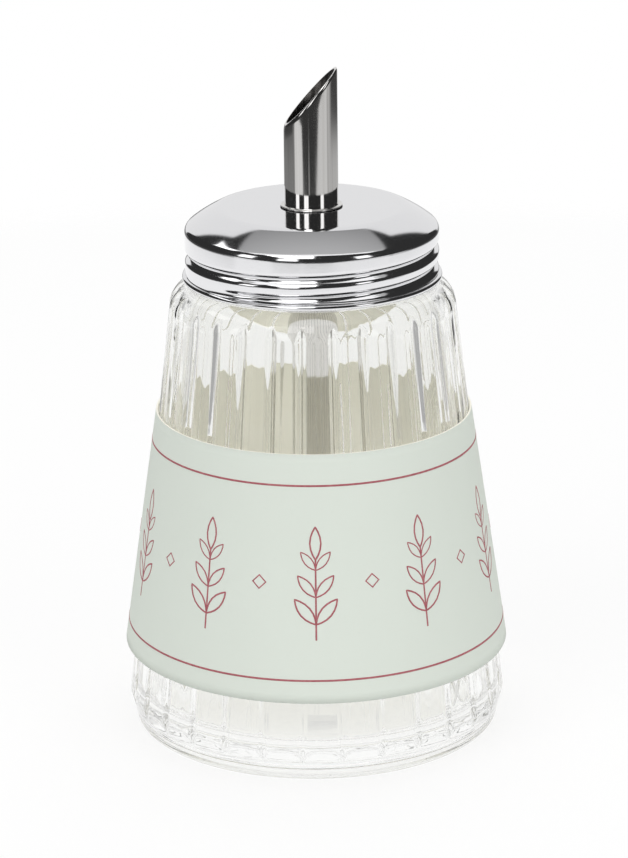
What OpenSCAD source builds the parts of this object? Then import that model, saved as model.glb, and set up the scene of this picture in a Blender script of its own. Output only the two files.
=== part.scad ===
// Sugar dispenser: a fluted glass jar, a screw cap that carries one straight
// pouring tube with a slanted mouth, and a loose conical card sleeve.
// Millimetres, +Z up, origin on the table in the middle of the jar's base.

/* [Glass jar] */
// Largest radius of the glass, just above the foot
jar_r = 43.3; // [40:0.1:47]
// Height above the table where that largest radius lies
jar_low_z = 7.5; // [6.5:0.1:10]
// Height above the table where the conical wall ends and the shoulder starts
shoulder_z = 98; // [90:0.5:115]
// Radius of the rounded shoulder
shoulder_r = 6; // [5:0.1:7.5]
// Outside radius of the plain neck under the cap
neck_r = 26.4; // [24:0.1:28]
// Wall thickness of the conical body
wall = 3.2; // [2.6:0.1:4]
// Wall thickness of the neck
neck_wall = 3.6; // [3:0.1:4.5]
// Rounding of the rim's outer edge
rim_round = 1; // [0.5:0.1:1.5]
// Rounding of the rim's inner edge
mouth_round = 0.8; // [0.5:0.1:1.5]
// Height of the inside floor above the table
floor_z = 5.6; // [4.5:0.1:7]
// Radius between the inside floor and the wall
floor_fillet = 6; // [4:0.5:9]

/* [Foot] */
// How far the foot ring stands back from the largest radius
foot_step = 1.4; // [1:0.1:2]
// Height of the foot ring
foot_h = 3.6; // [3:0.1:4.5]
// Rounding of the foot ring's lower edge
foot_round = 2; // [1:0.1:2.4]
// Width of the ring that stands on the table
foot_land = 3.2; // [2.5:0.1:5]
// Depth of the hollow under the base
push_up = 1.6; // [1:0.1:2.4]
// Height of the slope that leads from the foot ring out to the largest radius
foot_slope_h = 2.3; // [1.5:0.1:3]

/* [Flutes] */
// Number of upright grooves round the glass
flute_count = 30; // [20:1:40]
// Depth of one groove below the conical wall
flute_depth = 0.7; // [0.4:0.05:1]
// Radius of the cutter that makes one groove
flute_cut_r = 1.4; // [1.1:0.1:1.8]
// Turn of the first groove from the +X axis, in degrees
flute_phase = 1.5; // [0:0.5:11.5]

/* [Thread] */
// Rise of the thread in one turn
pitch = 4.2; // [3.8:0.1:5]
// Turns of thread rolled into the cap
cap_turns = 1.5; // [1.25:0.05:1.6]
// Turns of thread moulded on the neck
neck_turns = 1.3; // [1:0.05:1.4]
// Depth of the thread rolled into the cap
roll_depth = 1; // [0.8:0.05:1.2]
// Width of the thread rolled into the cap
roll_w = 2.4; // [2:0.1:2.6]
// Width of the moulded thread at its root
ridge_w = 1.5; // [1.2:0.1:1.7]
// Free space between the rolled thread's crest and the neck
thread_gap = 0.6; // [0.45:0.05:0.7]
// Free space between the neck thread's crest and the cap
ridge_gap = 0.45; // [0.35:0.05:0.6]
// Height of the rolled thread above the cap's lower edge, at the front
roll_rise = 2.55; // [2.2:0.05:2.6]

/* [Cap] */
// Thickness of the cap's sheet metal
sheet = 0.45; // [0.35:0.05:0.6]
// Free height between the glass shoulder and the cap's lower edge
cap_gap = 0.75; // [0.5:0.05:1.5]
// Height of the upright skirt
skirt_h = 10.9; // [9.8:0.1:13]
// How far the glass rim reaches above the top of the skirt
rim_rise = 0.7; // [0.4:0.1:1]
// Radius of the rolled edge at the foot of the skirt
curl_r = 0.7; // [0.5:0.05:0.8]
// Rounding where the skirt turns into the dome
corner_r = 2; // [1.2:0.1:3]
// Radius of the arc that the dome's slope follows
dome_r = 30; // [26:0.5:36]
// Radius of the nearly flat crown in the middle of the dome
crown_r = 20; // [18:0.2:20.6]
// Radius of the round edge between the crown and the slope
crown_round = 5; // [4:0.5:7]
// Steepness of the slope where it leaves that round edge, in degrees
crown_edge = 26; // [20:1:28]
// Rise of the crown towards the tube
crown_rise = 0.1; // [0.05:0.05:0.3]

/* [Pouring tube] */
// Outside radius of the tube
tube_r = 6; // [5:0.1:7]
// Wall thickness of the tube
tube_wall = 0.7; // [0.5:0.05:1]
// Height of the mouth's low side above the dome
tube_rise = 18.1; // [14:0.1:26]
// Slope of the mouth, in degrees from level
mouth_slope = 48; // [35:1:52]
// Free height between the inside floor and the tube's lower end
tube_lift = 10; // [6:0.5:16]
// How far the collar reaches out over the dome
collar_w = 0.9; // [0.8:0.1:1.6]
// Thickness of the collar
collar_h = 0.6; // [0.4:0.1:1]
// Outside radius of the lock ring under the dome
lock_r = 9.6; // [8.5:0.1:11]
// Thickness of the lock ring
lock_t = 1.1; // [0.8:0.1:1.5]

/* [Sealing ring] */
// Radial width of the sealing ring
seal_w = 3.4; // [2.8:0.1:3.6]
// How far the sealing ring stands back from the neck's outside
seal_back = 0.1; // [0.05:0.05:0.3]
// Free play between the sealing ring and the cap that turns over it
seal_fit = 0.06; // [0.03:0.01:0.1]

/* [Card sleeve] */
// Height of the sleeve's lower edge above the table
sleeve_low = 19.6; // [15:0.1:30]
// Height of the sleeve
sleeve_h = 54.9; // [40:0.5:60]
// Thickness of the card
card_t = 0.4; // [0.3:0.05:0.6]
// Free play between the card's upper edge and the glass
card_fit = 0.15; // [0.1:0.05:0.3]
// How much further the card stands off the glass at its lower edge
card_flare = 1.8; // [0.5:0.1:3]

/* [Hidden] */
$fn = 96;
arc_n = 8;          // points along one round stretch of an outline
over = 1;           // how far a cutter runs past what it cuts
thread_root = 0.25; // how deep a thread's root is sunk into its wall
thread_steps = 48;  // flats in one turn of thread
thread_fade = 5;    // flats over which a thread fades out at its end
thread_sliver = 0.12; // share of the depth that is left at the very end, sunk in the wall

cone_top_r = neck_r + shoulder_r;
cone_slope = (jar_r - cone_top_r) / (shoulder_z - jar_low_z);
cone_angle = atan(cone_slope);
function cone_at(z) = jar_r - cone_slope * (z - jar_low_z);

shoulder_top_z = shoulder_z + shoulder_r;
mouth_r = neck_r - neck_wall;
cap_low_z = shoulder_top_z + cap_gap;
skirt_top_z = cap_low_z + skirt_h;
rim_z = skirt_top_z + rim_rise;

cap_in_r = neck_r + thread_gap + roll_depth;
cap_r = cap_in_r + sheet;
ridge_h = cap_in_r - neck_r - ridge_gap;

// The dome: a flat crown, a round edge, a sloping arc and a tight corner into the skirt,
// each tangent to the next, with the slope's centre at dome_x, dome_z
corner_x = cap_r - corner_r;
corner_z = skirt_top_z;
dome_x = crown_r - (dome_r - crown_round) * sin(crown_edge);
dome_z = corner_z - sqrt(pow(dome_r - corner_r, 2) - pow(corner_x - dome_x, 2));
round_z = dome_z + (dome_r - crown_round) * cos(crown_edge);
crown_z = round_z + crown_round;
corner_a = atan2(corner_z - dome_z, corner_x - dome_x);
function arc_under(r, x, z, arc_r) = z + sqrt(pow(arc_r - sheet, 2) - pow(r - x, 2));
function dome_under(r) = r > crown_r + (crown_round - sheet) * sin(crown_edge)
    ? arc_under(r, dome_x, dome_z, dome_r)
    : arc_under(max(r, crown_r), crown_r, round_z, crown_round);

tube_top_z = crown_z + crown_rise;
tube_bottom_z = floor_z + tube_lift;
mouth_low_z = tube_top_z + tube_rise;
mouth_drop = 2 * tube_r * tan(mouth_slope);

sleeve_top = sleeve_low + sleeve_h;
card_top_r = cone_at(sleeve_top) + card_fit;
card_low_r = cone_at(sleeve_low) + card_fit + card_flare;

// Points on an arc in the outline's plane, from angle a to angle b
function arc(x, z, r, a, b) =
    [for (i = [0 : arc_n]) let (t = a + (b - a) * i / arc_n) [x + r * cos(t), z + r * sin(t)]];

// The thread's section at angle t along the helix; k from 0 to 1 raises it to its full depth.
// It starts a little inside the wall that it stands on, so that it crosses the wall cleanly.
function thread_ring(root, crest, w, z0, t, k) =
    let (sunk = root + (crest > root ? -thread_root : thread_root),
         c = sunk + (crest - sunk) * k, half = w / 2 + thread_root / 2, z = z0 + pitch * t / 360)
    [for (p = [[sunk, -half], [c, -w / 6], [c, w / 6], [sunk, half]])
        [p[0] * cos(t), p[0] * sin(t), z + p[1]]];

// One helical ridge or groove from angle t0 over a number of turns, fading out at both ends
module thread(root, crest, w, z0, t0, turns) {
    steps = round(thread_steps * turns);
    rings = [for (i = [0 : steps])
        thread_ring(root, crest, w, z0, t0 + 360 * turns * i / steps,
            max(thread_sliver, min(1, i / thread_fade, (steps - i) / thread_fade)))];
    out = crest > root;
    sides = [for (i = [0 : steps - 1], j = [0 : 3])
        let (a = i * 4 + j, b = i * 4 + (j + 1) % 4)
        for (f = out ? [[a, b + 4, a + 4], [a, b, b + 4]] : [[a, a + 4, b + 4], [a, b + 4, b]]) f];
    first = out ? [3, 2, 1, 0] : [0, 1, 2, 3];
    last = [for (j = out ? [0, 1, 2, 3] : [3, 2, 1, 0]) steps * 4 + j];
    polyhedron(points = [for (r = rings, p = r) p], faces = concat(sides, [first, last]), convexity = 6);
}

// Where the threads run: each starts at angle t0, and z0 is its height where the helix passes +X.
// The cap's roll passes the front, at -90 degrees, and the neck's ridge lies halfway between its turns.
roll_t0 = -150;
ridge_t0 = -60;
roll_z0 = cap_low_z + roll_rise + pitch * 90 / 360;
ridge_z0 = roll_z0 + pitch / 2;

module glass_jar() {
    foot_r = jar_r - foot_step;
    land_in = foot_r - foot_round - foot_land;
    outside = concat(
        [[0, push_up], [land_in - push_up, push_up], [land_in, 0]],
        arc(foot_r - foot_round, foot_round, foot_round, -90, 0),
        [[foot_r, foot_h], [jar_r - 0.3 * foot_step, foot_h + foot_slope_h], [jar_r, jar_low_z]],
        arc(neck_r, shoulder_z, shoulder_r, 0, 90),
        arc(neck_r - rim_round, rim_z - rim_round, rim_round, 0, 90),
        [[0, rim_z]]);
    in_low_r = cone_at(floor_z + floor_fillet) - wall;
    in_r = cone_top_r - wall - mouth_r;
    inside = concat(
        [[0, floor_z]],
        arc(in_low_r - floor_fillet, floor_z + floor_fillet, floor_fillet, -90, 0),
        arc(mouth_r, shoulder_z, in_r, 0, 90),
        arc(mouth_r + mouth_round, rim_z - mouth_round, mouth_round, 180, 90),
        [[mouth_r + mouth_round, rim_z + over], [0, rim_z + over]]);
    color("LightCyan", 0.4) difference() {
        union() {
            rotate_extrude() polygon(outside);
            thread(neck_r, neck_r + ridge_h, ridge_w, ridge_z0, ridge_t0, neck_turns);
        }
        rotate_extrude() polygon(inside);
        for (i = [0 : flute_count - 1])
            rotate([0, 0, flute_phase + i * 360 / flute_count])
                translate([jar_r + (flute_cut_r - flute_depth) / cos(cone_angle), 0, jar_low_z])
                    rotate([0, -cone_angle, 0])
                        translate([0, 0, -jar_low_z])
                            cylinder(r = flute_cut_r, h = shoulder_top_z / cos(cone_angle), $fn = 24);
    }
}

// Half section of the dome and skirt, set back by the sheet for the inside
function cap_outline(back) = concat(
    [[tube_r, crown_z + crown_rise - back]],
    arc(crown_r, round_z, crown_round - back, 90, 90 - crown_edge),
    after_first(arc(dome_x, dome_z, dome_r - back, 90 - crown_edge, corner_a)),
    after_first(arc(corner_x, corner_z, corner_r - back, corner_a, 0)));
function after_first(points) = [for (i = [1 : len(points) - 1]) points[i]];
function reversed(points) = [for (i = [len(points) - 1 : -1 : 0]) points[i]];

module screw_cap() {
    curl = arc(cap_r, cap_low_z + curl_r, curl_r, 90, -90);
    color("Silver") difference() {
        union() {
            rotate_extrude() polygon(concat(cap_outline(0), curl, [[cap_in_r, cap_low_z]],
                reversed(cap_outline(sheet))));
            thread(cap_in_r, cap_in_r - roll_depth, roll_w + sheet, roll_z0, roll_t0, cap_turns);
        }
        thread(cap_r, cap_r - roll_depth, roll_w, roll_z0, roll_t0, cap_turns);
    }
}

module sealing_ring() {
    out_r = neck_r - seal_back;
    in_r = out_r - seal_w;
    top = [for (i = [0 : arc_n]) let (r = out_r - seal_w * i / arc_n) [r, dome_under(r) - seal_fit]];
    color("WhiteSmoke") rotate_extrude() polygon(concat([[in_r, rim_z], [out_r, rim_z]], top));
}

module pouring_tube() {
    color("Gainsboro") difference() {
        translate([0, 0, tube_bottom_z])
            cylinder(r = tube_r, h = mouth_low_z + mouth_drop - tube_bottom_z);
        translate([0, 0, tube_bottom_z - over])
            cylinder(r = tube_r - tube_wall, h = mouth_low_z + mouth_drop + 2 * over);
        translate([-tube_r, -2 * tube_r, mouth_low_z])
            rotate([0, -mouth_slope, 0])
                cube([6 * tube_r, 4 * tube_r, 6 * tube_r]);
    }
}

// A thin ring with a round edge in the corner between the tube and the dome
module tube_collar() {
    flat = collar_w - collar_h / 2;
    color("Silver") rotate_extrude() translate([tube_r, tube_top_z]) {
        square([flat, collar_h]);
        translate([flat, collar_h / 2]) circle(collar_h / 2, $fn = 32);
    }
}

// A flat ring pressed on the tube, which holds it in the dome
module lock_ring() {
    color("DarkGray") translate([0, 0, crown_z - sheet - lock_t]) difference() {
        cylinder(r = lock_r, h = lock_t);
        translate([0, 0, -over]) cylinder(r = tube_r, h = lock_t + 2 * over);
    }
}

// A cone of card that rests on the glass at its upper edge and stands off it lower down
module card_sleeve() {
    color("#D5DBD3") rotate_extrude() polygon([
        [card_low_r, sleeve_low], [card_low_r + card_t, sleeve_low],
        [card_top_r + card_t, sleeve_top], [card_top_r, sleeve_top]]);
}

glass_jar();
sealing_ring();
screw_cap();
pouring_tube();
tube_collar();
lock_ring();
card_sleeve();
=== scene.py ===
import math

import bpy
import numpy as np
from mathutils import Matrix, Vector


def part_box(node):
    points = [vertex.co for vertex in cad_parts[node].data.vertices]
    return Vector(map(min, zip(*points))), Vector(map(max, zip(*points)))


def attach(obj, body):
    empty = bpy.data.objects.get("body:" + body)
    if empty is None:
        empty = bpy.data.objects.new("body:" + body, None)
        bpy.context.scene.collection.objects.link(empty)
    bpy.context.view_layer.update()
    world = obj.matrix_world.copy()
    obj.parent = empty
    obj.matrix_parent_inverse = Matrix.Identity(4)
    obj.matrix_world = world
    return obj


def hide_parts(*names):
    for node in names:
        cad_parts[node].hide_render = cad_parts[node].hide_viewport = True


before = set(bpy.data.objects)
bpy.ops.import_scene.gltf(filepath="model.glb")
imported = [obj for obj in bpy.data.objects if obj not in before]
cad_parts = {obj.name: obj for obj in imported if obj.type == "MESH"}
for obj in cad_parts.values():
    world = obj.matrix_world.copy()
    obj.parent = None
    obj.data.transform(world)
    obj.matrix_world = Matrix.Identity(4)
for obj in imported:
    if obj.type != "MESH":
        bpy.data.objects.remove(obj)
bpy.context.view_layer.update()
mm = 0.001


def addObject(name, data):
    thing = bpy.data.objects.new(name, data)
    bpy.context.scene.collection.objects.link(thing)
    return thing


# Camera: the photograph's place, tilt and framing

view = {
    "place": (0, -741.47 * mm, 310.58 * mm),
    "aim": (0, 0, 68.75 * mm),
    "sensor": 36,
    "lens": 143.82,
    "roll": -0.0112,
}


def makeCamera():
    camera = addObject("photoCamera", bpy.data.cameras.new("photoCamera"))
    camera.data.sensor_width = view["sensor"]
    camera.data.lens = view["lens"]
    place, aim = Vector(view["place"]), Vector(view["aim"])
    ahead = (aim - place).normalized()
    right = ahead.cross(Vector((0, 0, 1))).normalized()
    up = right.cross(ahead)
    tilted = (right + view["roll"] * up).normalized()
    up = tilted.cross(ahead)
    turn = Matrix((tilted, up, -ahead)).transposed().to_4x4()
    camera.matrix_world = Matrix.Translation(place) @ turn
    bpy.context.scene.camera = camera


makeCamera()
print("camera placed")


# Small helpers for node trees and meshes

def wire(tree, value, socket):
    if isinstance(value, bpy.types.NodeSocket):
        tree.links.new(value, socket)
    else:
        socket.default_value = value


def addNode(tree, kind, sockets=None, **settings):
    node = tree.nodes.new(kind)
    for name, value in settings.items():
        setattr(node, name, value)
    for name, value in (sockets or {}).items():
        wire(tree, value, node.inputs[name])
    return node


def calc(tree, operation, *values, clamp=False):
    node = addNode(tree, "ShaderNodeMath", operation=operation, use_clamp=clamp)
    for value, socket in zip(values, node.inputs):
        wire(tree, value, socket)
    return node.outputs[0]


def ease(tree, value, low, high, kind="SMOOTHSTEP"):
    # 0 below low, 1 above high
    node = addNode(tree, "ShaderNodeMapRange", {"Value": value, "From Min": low, "From Max": high})
    node.interpolation_type = kind
    return node.outputs[0]


socketKinds = {"Material": "NodeSocketMaterial", "Sprigs": "NodeSocketInt", "Leaf Rows": "NodeSocketInt"}


def geometryTree(name, labels):
    # An empty tree with geometry in and out, and one named input for each label
    tree = bpy.data.node_groups.new(name, "GeometryNodeTree")
    for way in ("INPUT", "OUTPUT"):
        tree.interface.new_socket(name="Geometry", in_out=way, socket_type="NodeSocketGeometry")
    for label in labels:
        kind = socketKinds.get(label, "NodeSocketFloat")
        tree.interface.new_socket(name=label, in_out="INPUT", socket_type=kind)
    return tree, tree.nodes.new("NodeGroupInput").outputs


def endTree(tree, geometry, material):
    whole = addNode(tree, "GeometryNodeRealizeInstances", {"Geometry": geometry}).outputs[0]
    coated = addNode(tree, "GeometryNodeSetMaterial", {"Geometry": whole, "Material": material})
    tree.links.new(coated.outputs[0], tree.nodes.new("NodeGroupOutput").inputs[0])


def applyTree(piece, tree, values):
    # The modifier's inputs are set by their sockets' identifiers, then its result becomes the mesh
    modifier = piece.modifiers.new(tree.name, "NODES")
    modifier.node_group = tree
    for item in tree.interface.items_tree:
        if item.in_out == "INPUT" and item.name in values:
            modifier[item.identifier] = values[item.name]
    evaluated = piece.evaluated_get(bpy.context.evaluated_depsgraph_get())
    made = bpy.data.meshes.new_from_object(evaluated)
    piece.modifiers.remove(modifier)
    old, piece.data = piece.data, made
    bpy.data.meshes.remove(old)
    made.name = piece.name


def cylinderFields(tree):
    # The position's angle round the axis, its radius, its height and the direction outwards
    place = tree.nodes.new("GeometryNodeInputPosition").outputs[0]
    parts = addNode(tree, "ShaderNodeSeparateXYZ", {0: place}).outputs
    angle = calc(tree, "ARCTAN2", parts[1], parts[0])
    flat = addNode(tree, "ShaderNodeCombineXYZ", {0: parts[0], 1: parts[1]}).outputs[0]
    radius = addNode(tree, "ShaderNodeVectorMath", {0: flat}, operation="LENGTH").outputs["Value"]
    outwards = addNode(tree, "ShaderNodeVectorMath", {0: flat}, operation="NORMALIZE").outputs[0]
    return angle, radius, parts[2], outwards, place


def skinField(tree):
    # The value that spin() gave each point: which wall of the piece it lies on
    return addNode(tree, "GeometryNodeInputNamedAttribute", {"Name": "skin"}).outputs["Attribute"]


def nearest(tree, value, spacing):
    # How far the value is past the nearest whole number of spacings
    half = calc(tree, "DIVIDE", spacing, 2.0)
    return calc(tree, "WRAP", value, half, calc(tree, "MULTIPLY", half, -1.0))


def roundProfile(tree, distance, width):
    # 1 in the middle and down to 0 at half the width on either side
    half = calc(tree, "MULTIPLY", width, 0.5)
    share = calc(tree, "DIVIDE", calc(tree, "ABSOLUTE", distance), half, clamp=True)
    wave = calc(tree, "COSINE", calc(tree, "MULTIPLY", share, math.pi))
    return calc(tree, "MULTIPLY_ADD", wave, 0.5, 0.5)


def pushOut(tree, given, outwards, shift):
    # Moves each point outwards by its own shift, which ends the tree
    offset = addNode(tree, "ShaderNodeVectorMath", {0: outwards, "Scale": shift}, operation="SCALE")
    sockets = {"Geometry": given["Geometry"], "Offset": offset.outputs[0]}
    moved = addNode(tree, "GeometryNodeSetPosition", sockets)
    endTree(tree, moved.outputs[0], given["Material"])


def arc(x, z, radius, start, end, steps=8):
    turns = [math.radians(start + (end - start) * i / steps) for i in range(steps + 1)]
    return [(x + radius * math.cos(t), z + radius * math.sin(t)) for t in turns]


def line(a, b, steps):
    return [tuple(np.array(a) + (np.array(b) - np.array(a)) * i / steps) for i in range(1, steps)]


def ringAngles(steps):
    return [2 * math.pi * i / steps for i in range(steps)]


def makePiece(name, vertices, faces, smooth=True):
    mesh = bpy.data.meshes.new(name)
    mesh.from_pydata([tuple(v) for v in vertices], [], faces)
    mesh.polygons.foreach_set("use_smooth", [smooth] * len(mesh.polygons))
    mesh.update()
    return addObject(name, mesh)


def spin(name, outline, angles, skins=None):
    # Turns a closed outline of (radius, height) into a solid of revolution; faces point outwards
    area = sum(a[0] * b[1] - b[0] * a[1] for a, b in zip(outline, outline[1:] + outline[:1]))
    skins = skins or [0] * len(outline)
    if area < 0:
        outline, skins = outline[::-1], skins[::-1]
    vertices, rows, skin = [], [], []
    for (radius, height), value in zip(outline, skins):
        places = [(radius * math.cos(t), radius * math.sin(t), height) for t in angles]
        if radius < 1e-7:  # on the axis
            places = [(0, 0, height)]
        rows.append([len(vertices) + i for i in range(len(places))])
        vertices += places
        skin += [value] * len(places)
    faces, count = [], len(angles)
    for low, high in zip(rows, rows[1:] + rows[:1]):
        for i in range(count):
            j = (i + 1) % count
            a, b, c, d = low[i % len(low)], low[j % len(low)], high[j % len(high)], high[i % len(high)]
            face = [v for k, v in enumerate((a, b, c, d)) if v not in (a, b, c, d)[:k]]
            if len(face) > 2:
                faces.append(face)
    piece = makePiece(name, vertices, faces)
    if any(skin):
        piece.data.attributes.new("skin", "FLOAT", "POINT").data.foreach_set("value", skin)
    return piece


def coat(piece, *materials):
    piece.data.materials.clear()
    for material in materials:
        piece.data.materials.append(material)


def settle(piece, body, slot, *nodes):
    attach(piece, body)
    if nodes:
        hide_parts(*nodes)
    print("made", piece.name)


# Materials

def startMaterial(name, settings):
    material = bpy.data.materials.new(name)
    material.use_nodes = True
    tree = material.node_tree
    shader = tree.nodes["Principled BSDF"]
    for label, value in settings.items():
        shader.inputs[label].default_value = value
    place = tree.nodes.new("ShaderNodeTexCoord").outputs["Object"]
    return material, tree, shader, place


def stretch(tree, place, scale):
    return addNode(tree, "ShaderNodeMapping", {"Vector": place, "Scale": scale}).outputs[0]


def noise(tree, place, scale, detail=3.0, rough=0.5):
    sockets = {"Vector": place, "Scale": scale, "Detail": detail, "Roughness": rough}
    return addNode(tree, "ShaderNodeTexNoise", sockets).outputs["Fac"]


def paint(tree, shader, share, first, second):
    # The base colour goes from the first to the second with the share
    node = addNode(tree, "ShaderNodeMix", data_type="RGBA")
    wire(tree, share, node.inputs["Factor"])
    wire(tree, first, node.inputs[6])
    wire(tree, second, node.inputs[7])
    wire(tree, node.outputs[2], shader.inputs["Base Color"])


def roughen(tree, shader, share, ends):
    # The roughness goes from the first end to the second with the share
    least, most = ends
    wire(tree, calc(tree, "MULTIPLY_ADD", share, most - least, least), shader.inputs["Roughness"])


def addBump(tree, shader, height, depth):
    bump = addNode(tree, "ShaderNodeBump", {"Height": height, "Strength": 1.0, "Distance": depth})
    wire(tree, bump.outputs[0], shader.inputs["Normal"])


def mixShaders(tree, share, first, second):
    return addNode(tree, "ShaderNodeMixShader", {0: share, 1: first, 2: second}).outputs[0]


glassLook = {
    "tint": (0.976, 0.979, 0.969, 1),
    "ior": 1.5,
    "shade": (0.985, 0.985, 0.98, 1),  # what one wall lets through to its shadow
    "rough": (0, 0.02),
    "roughScale": 90,
    "ripple": 0.012 * mm,
    "rippleScale": 260,
}


def clearGlass():
    material, tree, shader, place = startMaterial("clearGlass", {
        "Base Color": glassLook["tint"], "IOR": glassLook["ior"], "Transmission Weight": 1})
    # Fire-polished glass: almost no roughness, and a faint ripple
    roughen(tree, shader, noise(tree, place, glassLook["roughScale"]), glassLook["rough"])
    addBump(tree, shader, noise(tree, place, glassLook["rippleScale"], 2.0), glassLook["ripple"])
    # Light for shadows and matt surfaces goes straight through
    rays = tree.nodes.new("ShaderNodeLightPath").outputs
    passing = calc(tree, "MAXIMUM", rays["Is Shadow Ray"], rays["Is Diffuse Ray"])
    clear = addNode(tree, "ShaderNodeBsdfTransparent", {"Color": glassLook["shade"]}).outputs[0]
    mixed = mixShaders(tree, passing, shader.outputs[0], clear)
    wire(tree, mixed, tree.nodes["Material Output"].inputs["Surface"])
    return material


chromeLook = {
    "colour": (0.82, 0.82, 0.835, 1),
    "rough": (0.08, 0.15),
    "turnedScale": (60, 60, 9000),
    "patchScale": 45,
    "grain": 0.0016 * mm,
    "grainScale": 700,
}


def capChrome():
    settings = {"Metallic": 1.0, "Base Color": chromeLook["colour"]}
    material, tree, shader, place = startMaterial("capChrome", settings)
    # Fine turned marks run round the cap, and handling has dulled it in patches
    turned = noise(tree, stretch(tree, place, chromeLook["turnedScale"]), 1.0, 2.0)
    patches = ease(tree, noise(tree, place, chromeLook["patchScale"], 4.0), 0.45, 0.8)
    fine = calc(tree, "MULTIPLY", ease(tree, turned, 0.55, 0.8), 0.35)
    share = calc(tree, "ADD", calc(tree, "MULTIPLY", patches, 0.5), fine, clamp=True)
    roughen(tree, shader, share, chromeLook["rough"])
    addBump(tree, shader, noise(tree, place, chromeLook["grainScale"]), chromeLook["grain"])
    return material


steelLook = {
    "light": (0.74, 0.73, 0.715, 1),
    "dark": (0.66, 0.645, 0.625, 1),
    "rough": (0.06, 0.16),
    "drawnScale": (2600, 2600, 12),
    "cloudScale": 80,
    "grain": 0.002 * mm,
}


def tubeSteel():
    material, tree, shader, place = startMaterial("tubeSteel", {"Metallic": 1.0})
    # Drawn tube: faint lines along its length
    drawn = noise(tree, stretch(tree, place, steelLook["drawnScale"]), 1.0)
    cloud = noise(tree, place, steelLook["cloudScale"])
    share = calc(tree, "MULTIPLY", ease(tree, drawn, 0.35, 0.75), 0.6)
    paint(tree, shader, share, steelLook["light"], steelLook["dark"])
    mixed = calc(tree, "MULTIPLY", ease(tree, cloud, 0.35, 0.8), ease(tree, drawn, 0.4, 0.8))
    roughen(tree, shader, mixed, steelLook["rough"])
    addBump(tree, shader, drawn, steelLook["grain"])
    return material


boreLook = {
    # Both tones are far darker than steel: painted shade for the inside of the tube
    "light": (0.20, 0.19, 0.18, 1),
    "dark": (0.07, 0.066, 0.062, 1),
    "rough": (0.28, 0.53),
    "streakScale": (1500, 1500, 30),
    "grain": 0.008 * mm,
}


def tubeBore():
    # The bore isn't polished: dull and streaked along its length; its near-black colour is painted shade
    # for the inside of the narrow tube
    material, tree, shader, place = startMaterial("tubeBore", {"Metallic": 1.0})
    streak = noise(tree, stretch(tree, place, boreLook["streakScale"]), 1.0, 4.0, 0.6)
    paint(tree, shader, ease(tree, streak, 0.35, 0.7), boreLook["dark"], boreLook["light"])
    roughen(tree, shader, streak, boreLook["rough"])
    addBump(tree, shader, streak, boreLook["grain"])
    return material


sealLook = {
    "light": (0.86, 0.86, 0.84, 1),
    "dark": (0.78, 0.77, 0.73, 1),
    "rough": (0.35, 0.55),
    "cloudScale": 120,
    "grain": 0.01 * mm,
    "grainScale": 900,
}


def whiteSeal():
    material, tree, shader, place = startMaterial("whiteSeal", {})
    cloud = noise(tree, place, sealLook["cloudScale"], 4.0)
    paint(tree, shader, ease(tree, cloud, 0.35, 0.75), sealLook["light"], sealLook["dark"])
    roughen(tree, shader, cloud, sealLook["rough"])
    addBump(tree, shader, noise(tree, place, sealLook["grainScale"]), sealLook["grain"])
    return material


cardLook = {
    "face": {"light": (0.655, 0.70, 0.64, 1), "dark": (0.63, 0.675, 0.615, 1), "rough": (0.72, 0.84)},
    "back": {"light": (0.85, 0.835, 0.75, 1), "dark": (0.80, 0.78, 0.69, 1), "rough": (0.85, 0.97)},
    "throughGlow": 0.15,  # painted light: the back of the card glows in its own pale colour at this strength, in place of the share of daylight that would come through the thin card
    "cloudScale": 70,
    "fibreScale": (900, 900, 2400),
    "toothScale": 2600,
    "tooth": 0.012 * mm,
    "sheen": 0.3,
}


def cardStock(name, side, glow=0.0):
    # Matt card: soft clouds, a scatter of short fibres and a fine tooth
    settings = {"Specular IOR Level": cardLook["sheen"]}
    # A glow given here is painted light: the card emits its own pale colour
    if glow:
        settings.update({"Emission Color": side["light"], "Emission Strength": glow})
    material, tree, shader, place = startMaterial(name, settings)
    cloud = noise(tree, place, cardLook["cloudScale"], 5.0)
    spread = stretch(tree, place, cardLook["fibreScale"])
    fibres = ease(tree, noise(tree, spread, 1.0, 3.0, 0.7), 0.56, 0.74)
    share = calc(tree, "MULTIPLY_ADD", fibres, 0.45, calc(tree, "MULTIPLY", cloud, 0.45), clamp=True)
    paint(tree, shader, share, side["light"], side["dark"])
    roughen(tree, shader, cloud, side["rough"])
    fine = noise(tree, place, cardLook["toothScale"], 2.0)
    tooth = calc(tree, "ADD", fine, calc(tree, "MULTIPLY", fibres, 0.5))
    addBump(tree, shader, tooth, cardLook["tooth"])
    return material


inkLook = {
    "full": (0.36, 0.085, 0.105, 1),
    "thin": (0.46, 0.16, 0.17, 1),
    "rough": (0.45, 0.65),
    "cloudScale": 1400,
    "grain": 0.012 * mm,
}


def printInk():
    # Ink sinks into the card unevenly, so its edge and body vary a little
    material, tree, shader, place = startMaterial("printInk", {})
    cloud = noise(tree, place, inkLook["cloudScale"], 4.0, 0.65)
    paint(tree, shader, ease(tree, cloud, 0.4, 0.72), inkLook["full"], inkLook["thin"])
    roughen(tree, shader, cloud, inkLook["rough"])
    addBump(tree, shader, cloud, inkLook["grain"])
    return material


glass = clearGlass()
chrome = capChrome()
steel = tubeSteel()
bore = tubeBore()
sealWhite = whiteSeal()
cardFace = cardStock("cardFace", cardLook["face"])
# The back of the card gets a painted glow, which brightens the inside of the sleeve
cardBack = cardStock("cardBack", cardLook["back"], cardLook["throughGlow"])
ink = printInk()
print("materials ready")


# Glass jar

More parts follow.
